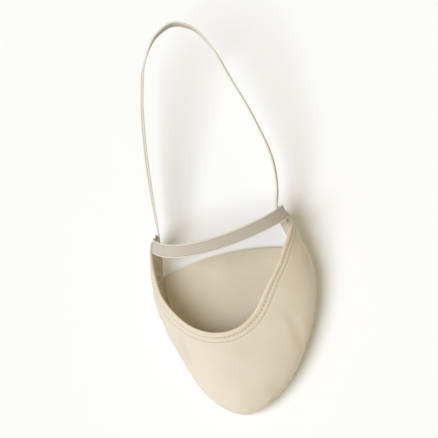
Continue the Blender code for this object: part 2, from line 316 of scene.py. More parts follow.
# arched threads, each from its start to its stop; thin gives their ends and how deep they sink
def stitchRow(starts, stops, normals, look, sides=6, steps=7, thin=0.55):
    radius = look["thread"]
    points = []
    faces = []
    for start, stop, normal in zip(starts, stops, normals):
        forward = unit(stop - start)
        across = unit(np.cross(normal, forward))
        up = np.cross(forward, across)
        first = len(points)
        for share in np.linspace(0, 1, steps):
            arch = math.sin(math.pi * share)
            centre = start + (stop - start) * share + up * (look["rise"] * arch - radius * thin)
            thick = radius * (thin + (1 - thin) * math.sqrt(arch))
            for turn in np.arange(sides) * 2 * math.pi / sides:
                points.append(centre + thick * (math.cos(turn) * across + math.sin(turn) * up))
        for i in range(steps - 1):
            for j in range(sides):
                k = (j + 1) % sides
                row = first + i * sides
                faces.append((row + j, row + sides + j, row + sides + k, row + k))
        faces.append(tuple(first + j for j in range(sides)))
        faces.append(tuple(first + (steps - 1) * sides + j for j in range(sides)))
    return np.array(points), faces


def runOfStitches(path, normals, look):  # both ends and the direction of each stitch along a path
    travelled = alongPath(path)
    firsts = np.arange(look["first"], travelled[-1] - look["stitch"], look["pitch"])

    def at(values, way):
        return np.stack([np.interp(firsts + way, travelled, axis) for axis in values.T], axis=1)

    return at(path, 0.0), at(path, look["stitch"]), unit(at(normals, look["stitch"] / 2))


def softNoise(draw, count):  # gentle wandering value along a run
    seed, knots = draw
    rng = np.random.default_rng(seed)
    return curveThrough(np.linspace(0, 1, knots), rng.uniform(-1, 1, knots))(np.linspace(0, 1, count))


# upper

upperLook = {
    "rearRibs": 70, "fanRibs": 300, "rows": 58, "crowding": 1.35,
    "wall": 1.2, "tuck": 2.2, "thinned": 0.35, "thinEdge": 0.6,  # it runs in under the hem, thinner there
    "dip": 0.22, "dipEdge": (-0.3, 1.1),
    "hemCalm": (5.4, 10.5), "creaseClear": (6.2, 8.0),  # ways below the collar's edge
    "creaseShadeDeep": 0.8,  # a trough of this depth takes the full painted crease shade
    "gathers": {
        "pitch": 3.9, "wander": 0.55, "wanderDraw": (3, 34), "even": 0.65, "unevenDraw": (5, 40),
        "calm": 0.75, "calmRun": (62.0, 96.0),  # fewer towards the rear corners
        "long": {"depth": 0.17, "atSeam": 0.35, "full": 2.0, "fades": 3.5, "reach": 11.5},
        "short": {"depth": 0.14, "atSeam": 0.30, "full": 1.5, "fades": 1.5, "reach": 6.0, "shift": 1.3},
    },
    "ridge": 0.45, "ridgeOut": 1.7, "creaseEnds": {"below": 2.0, "above": 2.5, "full": 0.2},
    "creases": (  # side, station, base, reach, width, depth, lean: each a soft trough between two ridges
        (-1, 6.0, 2.0, 11.0, 2.2, 0.22, 0.05),
        (-1, 12.5, 2.0, 12.0, 2.2, 0.25, 0.05),
        (-1, 20.0, 2.0, 12.5, 1.5, 0.60, 0.10),
        (-1, 25.5, 2.0, 13.0, 1.4, 0.70, 0.05),
        (-1, 30.7, 2.0, 14.0, 1.7, 0.90, -0.04),
        (-1, 36.0, 2.0, 11.0, 2.2, 0.20, 0.00),
        (-1, 42.0, 2.5, 12.0, 1.2, 0.42, 0.00),
        (-1, 45.2, 2.5, 12.0, 1.2, 0.45, 0.05),
        (-1, 48.8, 2.5, 12.5, 1.4, 0.60, 0.05),
        (-1, 55.5, 2.0, 12.0, 2.2, 0.25, 0.00),
        (-1, 62.5, 1.0, 26.0, 4.5, 0.40, 0.00),
        (-1, 66.8, 3.0, 17.0, 1.6, -0.45, 0.05),
        (-1, 72.0, 2.0, 12.0, 2.8, 0.25, 0.10),
        (-1, 81.0, 2.0, 11.0, 2.6, 0.20, 0.00),
        (-1, 90.0, 2.0, 13.0, 1.9, 0.65, -0.45),
        (-1, 94.0, 2.0, 15.0, 1.5, 1.05, -0.20),
        (-1, 97.0, 3.0, 13.0, 1.2, -0.55, -0.05),
        (-1, 99.5, 2.0, 12.0, 1.7, 0.65, 0.30),
        (1, 5.0, 2.0, 12.0, 2.1, 0.55, 0.05),
        (1, 9.0, 2.0, 13.0, 2.0, 0.55, -0.05),
        (1, 12.6, 5.0, 15.0, 1.6, 0.50, 0.00),
        (1, 17.0, 2.0, 14.0, 2.0, 0.65, -0.05),
        (1, 24.0, 2.0, 12.0, 2.0, 0.50, 0.00),
        (1, 31.0, 2.0, 14.0, 2.1, 0.65, 0.10),
        (1, 39.0, 2.0, 12.0, 2.3, 0.45, 0.00),
        (1, 47.0, 2.0, 13.0, 2.2, 0.50, 0.05),
        (1, 56.0, 1.0, 24.0, 5.5, 0.35, 0.00),
        (1, 66.0, 2.0, 11.0, 2.6, 0.35, 0.00),
        (1, 76.0, 2.0, 12.0, 2.6, 0.35, 0.05),
        (1, 90.5, 2.0, 14.0, 1.9, 0.65, -0.40),
        (1, 94.5, 2.0, 15.0, 1.6, 0.95, -0.15),
        (1, 97.5, 3.0, 12.0, 1.2, -0.45, -0.05),
        (1, 100.0, 2.0, 12.0, 1.7, 0.55, 0.30),
    ),
    "foldEnds": (-0.12, 0.3, 0.7, 1.15),  # shares of a fold's length: starts, full, fades, gone
    "folds": (  # side, station and climb at each end, width, depth: long shallow folds across the wall
        (-1, 104.0, 9.0, 74.0, 20.0, 3.2, 0.30),
        (-1, 100.0, 13.5, 84.0, 21.0, 2.4, -0.25),
        (1, 104.0, 10.0, 70.0, 24.0, 3.4, 0.30),
        (1, 100.0, 15.0, 80.0, 27.0, 2.6, -0.25),
        (1, 26.0, 16.0, 44.0, 34.0, 4.0, 0.35),
        (1, 2.4, 12.6, 4.8, 12.4, 1.2, 0.50),
        (-1, 30.0, 22.0, 52.0, 34.0, 4.5, 0.30),
    ),
    "seamDarkening": (0.35, 1.0, 9.0),  # amount of darkening low on the wall, and the climb over which it fades
    "soilAndShadeMost": 1.6,
    "scuffsAndShade": (  # side, station, climb, wide, amount: scuffs, and painted shade under the toe pucker (stations 3.6 and 4.6), on the outer wall (50.0) and in the inner vamp dent (41.0)
        (1, 3.6, 12.4, 1.5, 1.50), (1, 4.6, 11.6, 1.2, 0.90), (1, 6.0, 8.0, 5.0, 0.45),
        (1, 13.0, 5.0, 6.0, 0.35), (-1, 8.0, 6.0, 6.0, 0.30), (-1, 58.0, 5.0, 9.0, 0.25),
        (1, 60.0, 6.0, 10.0, 0.30), (-1, 30.0, 5.0, 6.0, 0.25), (1, 96.0, 6.0, 5.0, 0.35),
        (-1, 96.0, 6.0, 5.0, 0.35), (1, 50.0, 20.0, 13.0, 0.16), (-1, 41.0, 16.0, 7.0, 0.12),
    ),
    "swellClear": (4.0, 12.0),  # they start this far up the wall
    "swells": (  # x, s, wide, height: where the cloth has stretched at toe and ball
        (-25.0, 22.0, 11.0, 0.45), (-9.0, 15.0, 8.0, 0.25), (6.0, 20.0, 8.0, 0.25),
        (20.0, 30.0, 9.0, 0.25), (-38.0, 66.0, 13.0, 0.40), (40.0, 62.0, 13.0, 0.30),
        (-2.0, 36.0, 10.0, -0.20), (-38.0, 42.0, 9.0, -0.30), (9.0, 9.0, 5.0, -0.35),
    ),
}

hemLook = {
    "width": 6.0, "band": 7.0, "bandSteps": 15,
    "shortRib": 8.0, "shortStart": 0.2,  # at the rear corners a rib is shorter than the band
    "profilePoints": 44,
    "profile": (  # below the edge, out from the last: up the outside, over the edge and down the inside
        (6.30, -0.44), (6.16, -0.22), (5.95, -0.08), (5.40, 0.04), (4.60, 0.09), (3.90, 0.05),
        (3.45, -0.06), (3.20, -0.10), (2.95, -0.03), (2.40, 0.23), (1.60, 0.43), (0.85, 0.41),
        (0.25, 0.16), (0.00, -0.29), (0.12, -0.95), (0.75, -1.52), (1.80, -1.72), (2.80, -1.58),
        (3.20, -1.46), (3.70, -1.58), (4.80, -1.70), (5.90, -1.62), (6.30, -1.35), (6.40, -0.95),
    ),
    "outerFrom": -0.12, "core": -0.6, "pucker": 0.10, "puckerDraw": (11, 90),
    "endShare": 0.45, "endRibs": 3.0, "endClear": 0.4, "lineClear": 0.3,  # it thins towards the corners
    "innerRoll": 0.40, "rollTurn": (-0.30, 0.10), "rollLevel": 0.06,  # pressed flatter on the inner side
    "seam": {
        "lines": (3.20, 6.02), "lift": (0.02, 0.06),  # below the edge, and out from the last
        "stitch": 1.7, "pitch": 2.5, "first": 1.0, "thread": 0.19, "rise": 0.10,
    },
}

footRoots, ribs = shoeRibs(upperLook["rearRibs"], upperLook["fanRibs"])
ribLength = np.array([alongPath(rib)[-1] for rib in ribs])
footArc = np.interp(footRoots, outlineTable, outlineRun)


def gridNormals(grid):
    return unit(np.cross(np.gradient(grid, axis=0), np.gradient(grid, axis=1)))


def creaseShape(x):  # trough with a soft ridge on each side
    out = upperLook["ridgeOut"]
    return -np.exp(-x * x) + upperLook["ridge"] * (np.exp(-((x - out) ** 2)) + np.exp(-((x + out) ** 2)))


def gatherFade(look, climb):  # full a little above the seam, gone at its reach
    start = look["atSeam"] + (1 - look["atSeam"]) * easeIn(0.0, look["full"], climb)
    return start * (1 - easeIn(look["fades"], look["reach"], climb))


def gatherRelief(arc, climb):  # long gathers at the sole seam, with short puckers between them
    look = upperLook["gathers"]
    wander = softNoise(look["wanderDraw"], len(arc))
    phase = 2 * np.pi * (arc / look["pitch"] + look["wander"] * wander)
    uneven = look["even"] + (1 - look["even"]) * softNoise(look["unevenDraw"], len(arc))
    front = 1 - look["calm"] * easeIn(*look["calmRun"], np.abs(arc))
    gathers = look["long"]["depth"] * uneven * front * np.sin(phase)
    puckers = look["short"]["depth"] * front * np.sin(2 * phase + look["short"]["shift"] * wander)
    relief = gathers[:, None] * gatherFade(look["long"], climb)
    return relief + puckers[:, None] * gatherFade(look["short"], climb)


def creaseRelief(arc, climb):
    ends = upperLook["creaseEnds"]
    relief = np.zeros(climb.shape)
    for side, station, base, reach, width, depth, lean in upperLook["creases"]:
        across = (arc[:, None] - arcOf(side, station) - side * lean * climb) / width
        starts = easeIn(base - ends["below"], base + ends["above"], climb)
        fades = 1 - easeIn(base + reach * ends["full"], base + reach, climb)
        relief += depth * creaseShape(across) * starts * fades
    return relief


def foldRelief(arc, climb):
    starts, full, fades, gone = upperLook["foldEnds"]
    relief = np.zeros(climb.shape)
    for side, stationA, climbA, stationB, climbB, width, depth in upperLook["folds"]:
        arcA = arcOf(side, stationA)
        run = np.array((arcOf(side, stationB) - arcA, climbB - climbA))
        length = np.linalg.norm(run)
        runArc, runClimb = run / length
        fromArc = arc[:, None] - arcA
        fromClimb = climb - climbA
        along = (fromArc * runArc + fromClimb * runClimb) / length
        across = (fromClimb * runArc - fromArc * runClimb) / width
        relief += depth * creaseShape(across) * easeIn(starts, full, along) * (1 - easeIn(fades, gone, along))
    return relief


def swellRelief(points, climb):
    relief = np.zeros(climb.shape)
    for x, s, wide, height in upperLook["swells"]:
        away = (points[..., 0] - x) ** 2 + (points[..., 1] - s) ** 2
        relief += height * np.exp(-away / wide**2)
    return relief * easeIn(*upperLook["swellClear"], climb)


def upperRelief(arc, climb, below, points):
    relief = gatherRelief(arc, climb) + creaseRelief(arc, climb)
    relief += foldRelief(arc, climb) + swellRelief(points, climb)
    relief *= easeIn(*upperLook["hemCalm"], below)  # calm where the hem holds it
    dipFrom, dipTo = (hemLook["width"] + edge for edge in upperLook["dipEdge"])
    return relief - upperLook["dip"] * (1 - easeIn(dipFrom, dipTo, below))


# soil and painted shade in one mask: darker low on the wall, at the scuffs and at the painted shade patches
def upperSoilAndShade(arc, climb):
    most, fadeFrom, fadeTo = upperLook["seamDarkening"]
    soilAndShade = most * (1 - easeIn(fadeFrom, fadeTo, climb))
    for side, station, height, wide, amount in upperLook["scuffsAndShade"]:
        away = (arc[:, None] - arcOf(side, station)) ** 2 + (climb - height) ** 2
        soilAndShade += amount * np.exp(-away / wide**2)
    return np.clip(soilAndShade, 0, upperLook["soilAndShadeMost"])


rowShares = np.linspace(0, 1, upperLook["rows"]) ** upperLook["crowding"]
climb = rowShares[None, :] * (ribLength - hemLook["width"] + upperLook["tuck"])[:, None]
wallGrid = np.array([resample(rib, way) for rib, way in zip(ribs, climb)])
wallNormals = gridNormals(wallGrid)
below = ribLength[:, None] - climb
relief = upperRelief(footArc, climb, below, wallGrid)
upperOutside = wallGrid + wallNormals * relief[..., None]
thinFrom, thinTo = (hemLook["width"] + edge * upperLook["thinEdge"] for edge in (1, -1))
thin = 1 - upperLook["thinned"] * easeIn(thinFrom, thinTo, below)
upperInside = upperOutside - wallNormals * (upperLook["wall"] * thin)[..., None]
# painted shade in the creases: the deeper a trough, the darker its cloth
creaseShade = np.clip(-relief / upperLook["creaseShadeDeep"], 0, 1) * easeIn(*upperLook["creaseClear"], below)
upperMasks = {"soilAndShade": upperSoilAndShade(footArc, climb), "crease": creaseShade}
upperFabric = shell("upperFabric", upperOutside, upperInside, upperMasks)
print("upper laid over the last:", len(upperFabric.data.polygons), "faces")

# collar hem: one rolled and twice stitched edge


def hemProfile():  # the closed profile, evenly spaced
    loop = np.array(hemLook["profile"] + hemLook["profile"][:1])
    way = alongPath(loop)
    return curveThrough(way, loop)(np.linspace(0, way[-1], hemLook["profilePoints"], endpoint=False))


def edgeRib(rib, length):  # the rib's last stretch, a little more than the hem's width
    start = length - hemLook["band"] if length > hemLook["shortRib"] else length * hemLook["shortStart"]
    return resample(rib, np.linspace(start, length, hemLook["bandSteps"]))


edgeWays = np.linspace(0, hemLook["band"], hemLook["bandSteps"])
edgeNormals = gridNormals(np.array([edgeRib(rib, length) for rib, length in zip(ribs, ribLength)]))


def hemNormal(i, u):
    way = hemLook["band"] - np.clip(u, 0, hemLook["band"])
    return unit(np.stack([np.interp(way, edgeWays, axis) for axis in edgeNormals[i].T], axis=-1))


def hemLine(u, lifted):  # a line round the collar, this far below its edge
    ways = np.maximum(ribLength - u, hemLook["lineClear"])
    path = np.array([resample(rib, way[None])[0] for rib, way in zip(ribs, ways)])
    up = np.array([hemNormal(i, np.float64(u)) for i in range(len(ribs))])
    return path + up * lifted, up


hemBelow, hemOut = hemProfile().T
outerFace = hemOut > hemLook["outerFrom"]
hemPucker = 1 + hemLook["pucker"] * softNoise(hemLook["puckerDraw"], len(ribs))
hemRolled = hemLook["innerRoll"] + (1 - hemLook["innerRoll"]) * easeIn(*hemLook["rollTurn"], footRoots)
hemGrid = []
for i, rib in enumerate(ribs):
    pressed = hemLook["rollLevel"] + (hemOut - hemLook["rollLevel"]) * hemRolled[i]
    nearEnd = min(i, len(ribs) - 1 - i)
    taper = hemLook["endShare"] + (1 - hemLook["endShare"]) * easeIn(0.0, hemLook["endRibs"], nearEnd)
    fromCore = np.where(outerFace, pressed, hemOut) - hemLook["core"]
    out = (hemLook["core"] + fromCore * taper) * math.sqrt(hemPucker[i])
    base = resample(rib, ribLength[i] - np.clip(hemBelow, 0, ribLength[i] - hemLook["endClear"]))
    hemGrid.append(base + hemNormal(i, hemBelow) * out[:, None])
hemSeam = hemLook["seam"]
upperWay, lowerWay = (alongPath(hemLine(u, 0.0)[0]) for u in hemSeam["lines"])
collarHem = loft("collarHem", np.array(hemGrid), masks={
    "below": np.tile(hemBelow, len(ribs)),
    "rolled": np.repeat(hemRolled, len(hemBelow)),
    "seamWay": np.where(hemBelow < sum(hemSeam["lines"]) / 2, upperWay[:, None], lowerWay[:, None]),
})
print("hem rolled:", len(collarHem.data.polygons), "faces")

seamLines = [hemLine(u, lifted) for u, lifted in zip(hemSeam["lines"], hemSeam["lift"])]
hemEnds = [runOfStitches(*line, hemSeam) for line in seamLines]
hemStitches = makeObject("hemStitches", *stitchRow(*map(np.concatenate, zip(*hemEnds)), hemSeam))
print("hem stitched:", len(hemEnds[-1][0]), "stitches in the lower row")

# sole patch and insole

soleLook = {
    "sideLength": 93.0, "toeStart": 0.03, "rearBow": 5.0, "bowPower": 6, "rows": 150, "columns": 72,
    "edgeShare": 0.46, "pressClear": (0.5, 6.0), "pressDeep": 0.3,
    "patch": {"inset": 6.95, "bottom": 0.0, "thick": 1.8, "round": 0.7, "groove": 0.38, "hollows": ()},
    "sock": {
        "inset": 7.2, "bottom": 2.1, "thick": 0.9, "round": 0.4, "groove": 0.0,
        "hollows": (  # x, s, spread across, spread along, depth: pressed at ball and toe
            (-4.0, 68.0, 26.0, 20.0, 0.30), (-17.0, 18.0, 9.0, 8.0, 0.22), (4.0, 24.0, 8.0, 7.0, 0.15),
        ),
    },
    "seam": {
        "inset": 2.2, "wide": 0.5, "steps": 700, "slack": 0.06,
        "stitch": 2.4, "pitch": 3.1, "first": 1.24, "thread": 0.2, "rise": 0.12,
    },
}


def crowdedEnds(count):  # shares from 0 to 1, closer together at both ends
    return (1 - np.cos(np.linspace(0, math.pi, count))) / 2


def footbedPlan(inset):
    toeRoot = soleLook["toeStart"]
    roots = toeRoot + (float(rootOf(soleLook["sideLength"])) - toeRoot) * crowdedEnds(soleLook["rows"])
    across = crowdedEnds(soleLook["columns"])
    inner, outer = (outlineInset(side * roots, inset) for side in (-1, 1))
    plan = inner[:, None] + (outer - inner)[:, None] * across[None, :, None]
    bow = soleLook["rearBow"] * 4 * across * (1 - across)
    plan[..., 1] += bow[None, :] * ((roots / roots[-1]) ** soleLook["bowPower"])[:, None]
    return plan


def planRim(plan):
    return np.concatenate((plan[0, :-1], plan[:-1, -1], plan[-1, :0:-1], plan[:0:-1, 0]))


def rimDistance(plan):
    rim = planRim(plan)
    flat = plan.reshape(-1, 2)
    best = np.full(len(flat), np.inf)
    for a, b in zip(rim, np.roll(rim, -1, axis=0)):
        run = b - a
        share = np.clip((flat - a) @ run / (run @ run), 0, 1)
        best = np.minimum(best, np.hypot(*(flat - a - share[:, None] * run).T))
    return best.reshape(plan.shape[:2])


def edgeDrop(distance, radius):  # rounded edge
    share = np.clip(1 - distance / radius, 0, 1)
    return radius * (1 - np.sqrt(1 - share * share))


def footbed(name, look):
    plan = footbedPlan(look["inset"])
    away = rimDistance(plan)
    ground = look["bottom"] + lift(plan[..., 1])
    drop = edgeDrop(away, look["round"]) * min(1.0, soleLook["edgeShare"] * look["thick"] / look["round"])
    pressed = np.zeros(away.shape)
    for x, s, spreadX, spreadS, depth in look["hollows"]:
        fromMiddle = ((plan[..., 0] - x) / spreadX) ** 2 + ((plan[..., 1] - s) / spreadS) ** 2
        pressed += depth * np.exp(-fromMiddle)
    top = np.dstack((plan, ground + look["thick"] - drop - pressed * easeIn(*soleLook["pressClear"], away)))
    fromSeam = (away - soleLook["seam"]["inset"]) / soleLook["seam"]["wide"]
    under = np.dstack((plan, ground + drop + look["groove"] * np.exp(-(fromSeam**2))))
    masks = {"rim": away[:, ::-1], "pressed": np.clip(pressed / soleLook["pressDeep"], 0, 1)[:, ::-1]}
    return shell(name, top[:, ::-1], under[:, ::-1], masks)


def seamPath():  # the line where the patch is sewn on, set in from its rim
    look = soleLook["seam"]
    plan = footbedPlan(soleLook["patch"]["inset"])
    rim = planRim(plan)
    rim = np.vstack((rim, rim[:1]))
    rim = resample(rim, np.linspace(0, alongPath(rim)[-1], look["steps"], endpoint=False))
    run = unit(np.roll(rim, -1, axis=0) - np.roll(rim, 1, axis=0))
    inward = np.stack((-run[:, 1], run[:, 0]), axis=1)
    if np.sum(inward * (plan.reshape(-1, 2).mean(axis=0) - rim)) < 0:
        inward = -inward
    line = rim + inward * look["inset"]
    gaps = np.linalg.norm(line[:, None] - rim[None], axis=2).min(axis=1)
    line = line[gaps > look["inset"] - look["slack"]]  # leaves out the loops at tight corners
    line = np.vstack((line, line[:1]))
    return np.column_stack((line, lift(line[:, 1]) + soleLook["patch"]["groove"]))


suedeSole = footbed("suedeSole", soleLook["patch"])
insoleSock = footbed("insoleSock", soleLook["sock"])
seam = seamPath()
downward = np.tile((0.0, 0.0, -1.0), (len(seam), 1))
soleEnds = runOfStitches(seam, downward, soleLook["seam"])
soleStitches = makeObject("soleStitches", *stitchRow(*soleEnds, soleLook["seam"]))
print("sole and insole cut, patch sewn with", len(soleEnds[0]), "stitches")

# elastics

elasticLook = {
    "width": 8.0, "thick": 1.0, "rib": 1.15, "ribDepth": 0.07, "core": 0.41,
    "cord": 0.52, "cordWidth": 0.45, "across": 73,
    "tack": {
        "reach": 3.3, "stitch": 1.9, "stitches": 3, "sunk": 0.46, "thread": 0.17, "rise": 0.10,
        "instepRows": (1.8, 3.4, -3.4, -1.8), "heelRows": (1.8, 7.2, -7.2, -1.8),  # way from each end
    },
    "instep": {
        "foot": 112.0, "top": 93.0, "outerBow": 1.5, "tuck": 25.0, "leaves": 9.0, "lies": 24.0,
        "tucked": 3.15, "lying": 0.7, "steps": 170, "fine": 721,
        "bulge": 2.6, "bulgeMiddle": 24.0, "bulgeSpread": 20.0,  # how far it bows out over the outer corner
    },
    "heel": {
        "startHeight": 14.5, "depth": 4.75, "steps": 320, "fine": 1201,
        "route": (  # along, inner, outer, rise, lean
            (-0.085, 1.045, 1.035, 0.00, 0.06), (0.000, 0.990, 0.975, 0.09, 0.03),
            (0.100, 0.970, 1.055, 0.185, 0.08), (0.220, 0.945, 1.090, 0.30, 0.14),
            (0.460, 0.870, 0.945, 0.54, 0.17), (0.680, 0.745, 0.715, 0.755, 0.17),
            (0.850, 0.570, 0.525, 0.895, 0.15), (0.965, 0.285, 0.270, 0.98, 0.06),
            (1.000, 0.000, 0.000, 1.00, 0.00),
        ),
    },
}


def instepPath():
    look = elasticLook["instep"]

    def onLast(angle, shift=0.0):
        rise = np.maximum(0, np.sin(np.radians(angle))) ** np.where(angle < 90, look["outerBow"], 1.0)
        return sectionPoint(look["foot"] - (look["foot"] - look["top"]) * rise + shift, angle)

    angles = np.linspace(-look["tuck"], 180 + look["tuck"], look["fine"])
    travelled = alongPath(onLast(angles))
    angles = np.interp(np.linspace(0, travelled[-1], look["steps"]), travelled, angles)
    path = onLast(angles)
    alongLast = onLast(angles, 1.0) - onLast(angles, -1.0)
    outward = unit(np.cross(alongLast, np.gradient(path, axis=0)))
    up = easeIn(look["leaves"], look["lies"], np.minimum(angles, 180 - angles))
    bulge = np.exp(-(((angles - look["bulgeMiddle"]) / look["bulgeSpread"]) ** 2))
    depth = look["tucked"] + (look["lying"] - look["tucked"]) * up - look["bulge"] * up * bulge
    return path - depth[:, None] * outward, outward


def heelPath():
    look = elasticLook["heel"]
    run = lastShape["heelLength"] - elasticLook["thick"] / 2 - lastShape["length"]
    climbUp = lastShape["heelHeight"] - look["startHeight"]
    stops = []
    for side, rows in ((1, look["route"]), (-1, look["route"][-2::-1])):
        reach = float(sideOf(side)) - side * look["depth"]
        for along, inner, outer, rise, lean in rows:
            x = reach * (outer if side > 0 else inner)
            stops.append((x, lastShape["length"] + run * along, look["startHeight"] + climbUp * rise, lean))
    stops = np.array(stops)
    travelled = alongPath(stops[:, :3])
    fine = curveThrough(travelled, stops)(np.linspace(0, travelled[-1], look["fine"]))
    even = resample(fine, np.linspace(0, alongPath(fine)[-1], look["steps"]))
    outward = unit(np.cross(np.gradient(even[:, :3], axis=0), (0.0, 0.0, 1.0)))
    outward[:, 2] += even[:, 3]
    return even[:, :3], unit(outward)


def elasticBand(name, path, outward):  # ribbed along its run, with a corded edge on each side
    half = elasticLook["width"] / 2
    v = half * np.sin(np.linspace(-math.pi / 2, math.pi / 2, elasticLook["across"]))
    core = elasticLook["core"] + elasticLook["ribDepth"] * np.cos(2 * math.pi * v / elasticLook["rib"])
    cordMiddle = half - elasticLook["cordWidth"]
    fromCord = (np.abs(v) - cordMiddle) / elasticLook["cordWidth"]
    bead = elasticLook["cord"] * np.sqrt(np.maximum(0, 1 - fromCord**2))
    thick = np.where(fromCord > 0, bead, np.maximum(core, bead))
    around = np.concatenate((v, v[-2:0:-1]))
    height = np.concatenate((thick, -thick[-2:0:-1]))
    forward = unit(np.gradient(path, axis=0))
    across = unit(np.cross(outward, forward))
    up = np.cross(forward, across)
    rings = path[:, None] + across[:, None] * around[None, :, None] + up[:, None] * height[None, :, None]
    uvs = np.stack((np.repeat(alongPath(path), len(around)), np.tile(around, len(path))), axis=1)
    return loft(name, rings, uvs)


def tackRows(path, outward, ways):  # rows of stitches across a tucked end, on its inner face
    look = elasticLook["tack"]
    travelled = alongPath(path)
    across = unit(np.cross(outward, np.gradient(path, axis=0)))
    tape = np.column_stack((path, across, outward))
    starts = []
    stops = []
    normals = []
    for way in ways:
        way = way if way > 0 else travelled[-1] + way
        centre, side, out = np.array([np.interp(way, travelled, axis) for axis in tape.T]).reshape(3, 3)
        for v in np.linspace(-look["reach"], look["reach"] - look["stitch"], look["stitches"]):
            starts.append(centre + side * v - out * look["sunk"])
            stops.append(centre + side * (v + look["stitch"]) - out * look["sunk"])
            normals.append(-out)
    return stitchRow(starts, stops, normals, look)


instepRun = instepPath()
heelRun = heelPath()
instepElastic = elasticBand("instepElastic", *instepRun)
heelElastic = elasticBand("heelElastic", *heelRun)
instepTacks = makeObject("instepTacks", *tackRows(*instepRun, elasticLook["tack"]["instepRows"]))
heelTacks = makeObject("heelTacks", *tackRows(*heelRun, elasticLook["tack"]["heelRows"]))
print("elastics woven and tacked")

# materials


def newGroup(name, inputs, outputs):  # each input has its starting value, and one with none is a vector
    tree = bpy.data.node_groups.new(name, "ShaderNodeTree")
    for label, value in inputs.items():
        kind = "NodeSocketVector" if value is None else "NodeSocketFloat"
        socket = tree.interface.new_socket(label, in_out="INPUT", socket_type=kind)
        if value is not None:
            socket.default_value = value
    for label in outputs:
        tree.interface.new_socket(label, in_out="OUTPUT", socket_type="NodeSocketFloat")
    return tree, tree.nodes.new("NodeGroupInput").outputs, tree.nodes.new("NodeGroupOutput").inputs


def join(tree, value, socket):
    if isinstance(value, bpy.types.NodeSocket):
        tree.links.new(value, socket)
    else:
        socket.default_value = value


def put(tree, kind, links=None, **settings):  # a node with its settings, values and incoming links
    node = tree.nodes.new(kind)
    for key, value in settings.items():
        setattr(node, key, value)
    for key, value in (links or {}).items():
        join(tree, value, node.inputs[key])
    return node


def sums(tree, operation, first, second=0.0, third=0.0):
    return put(tree, "ShaderNodeMath", {0: first, 1: second, 2: third}, operation=operation).outputs[0]


def product(tree, first, second):
    return sums(tree, "MULTIPLY", first, second)


def apart(tree, value, middle):  # how far a value is from a middle, to either side
    return sums(tree, "ABSOLUTE", sums(tree, "SUBTRACT", value, middle))


def spread(tree, value, low, high, bottom=0.0, top=1.0):  # soft step from bottom to top
    links = {"Value": value, "From Min": low, "From Max": high, "To Min": bottom, "To Max": top}
    return put(tree, "ShaderNodeMapRange", links, interpolation_type="SMOOTHSTEP").outputs[0]


def mixed(tree, share, first, second):
    node = put(tree, "ShaderNodeMix", {0: share}, data_type="RGBA")
    for place, colour in ((6, first), (7, second)):
        join(tree, colour if isinstance(colour, bpy.types.NodeSocket) else (*colour, 1.0), node.inputs[place])
    return node.outputs[2]


def millimetres(tree):
    place = put(tree, "ShaderNodeTexCoord").outputs["Object"]
    return put(tree, "ShaderNodeVectorMath", {0: place, "Scale": 1000.0}, operation="SCALE").outputs[0]


def noise(tree, place, scale, detail=2.0, rough=0.55):
    links = {"Vector": place, "Scale": scale, "Detail": detail, "Roughness": rough}
    return put(tree, "ShaderNodeTexNoise", links).outputs[0]


def mask(tree, label):
    return put(tree, "ShaderNodeAttribute", attribute_name=label).outputs["Fac"]


def use(tree, group, links):
    return put(tree, "ShaderNodeGroup", links, node_tree=group).outputs


def newMaterial(name, values):  # values that are the same all over stay on the shader's own sockets
    material = bpy.data.materials.new(name)
    material.use_nodes = True
    shader = material.node_tree.nodes["Principled BSDF"]
    for label, value in values.items():
        shader.inputs[label].default_value = value
    return material, material.node_tree, shader


def bumped(tree, shader, height, deep):  # deep is the relief in millimetres
    node = put(tree, "ShaderNodeBump", {"Height": height, "Distance": deep * 0.001, "Strength": 1.0})
    tree.links.new(node.outputs[0], shader.inputs["Normal"])


# grain of nap and fine pores, with slow patches of tone
napLook = {"poreScale": 0.6, "poreShare": 0.4, "slowScale": 0.25, "slowShare": 0.5, "patchEdge": (0.36, 0.64)}
napGrain, ins, outs = newGroup("napGrain", {"Grain": 0.4, "Patch Size": 9.0}, ("Height", "Patch"))
place = millimetres(napGrain)
fine = noise(napGrain, place, sums(napGrain, "DIVIDE", 1.0, ins["Grain"]), detail=3.0, rough=0.6)
poreLinks = {"Vector": place, "Scale": sums(napGrain, "DIVIDE", napLook["poreScale"], ins["Grain"])}
pores = put(napGrain, "ShaderNodeTexVoronoi", poreLinks).outputs["Distance"]
fine = product(napGrain, fine, 1 - napLook["poreShare"])
join(napGrain, sums(napGrain, "MULTIPLY_ADD", pores, napLook["poreShare"], fine), outs["Height"])
broad = noise(napGrain, place, sums(napGrain, "DIVIDE", 1.0, ins["Patch Size"]), detail=3.0)
slowScale = sums(napGrain, "DIVIDE", napLook["slowScale"], ins["Patch Size"])
slow = noise(napGrain, place, slowScale, detail=1.0)
broad = product(napGrain, broad, 1 - napLook["slowShare"])
tone = sums(napGrain, "MULTIPLY_ADD", slow, napLook["slowShare"], broad)
join(napGrain, spread(napGrain, tone, *napLook["patchEdge"]), outs["Patch"])

# dust that gathers low on the wall, in clouds
dustLook = {"cloudScale": 0.22, "cloudEdge": (0.35, 0.68)}
floorDust, ins, outs = newGroup("floorDust", {"Reach": 6.0, "Amount": 0.5}, ("Dust",))
place = millimetres(floorDust)
height = put(floorDust, "ShaderNodeSeparateXYZ", {0: place}).outputs[2]
low = sums(floorDust, "SUBTRACT", 1.0, spread(floorDust, height, 0.0, ins["Reach"]))
cloud = noise(floorDust, place, dustLook["cloudScale"], detail=4.0)
cloud = spread(floorDust, cloud, *dustLook["cloudEdge"])
join(floorDust, product(floorDust, product(floorDust, low, cloud), ins["Amount"]), outs["Dust"])

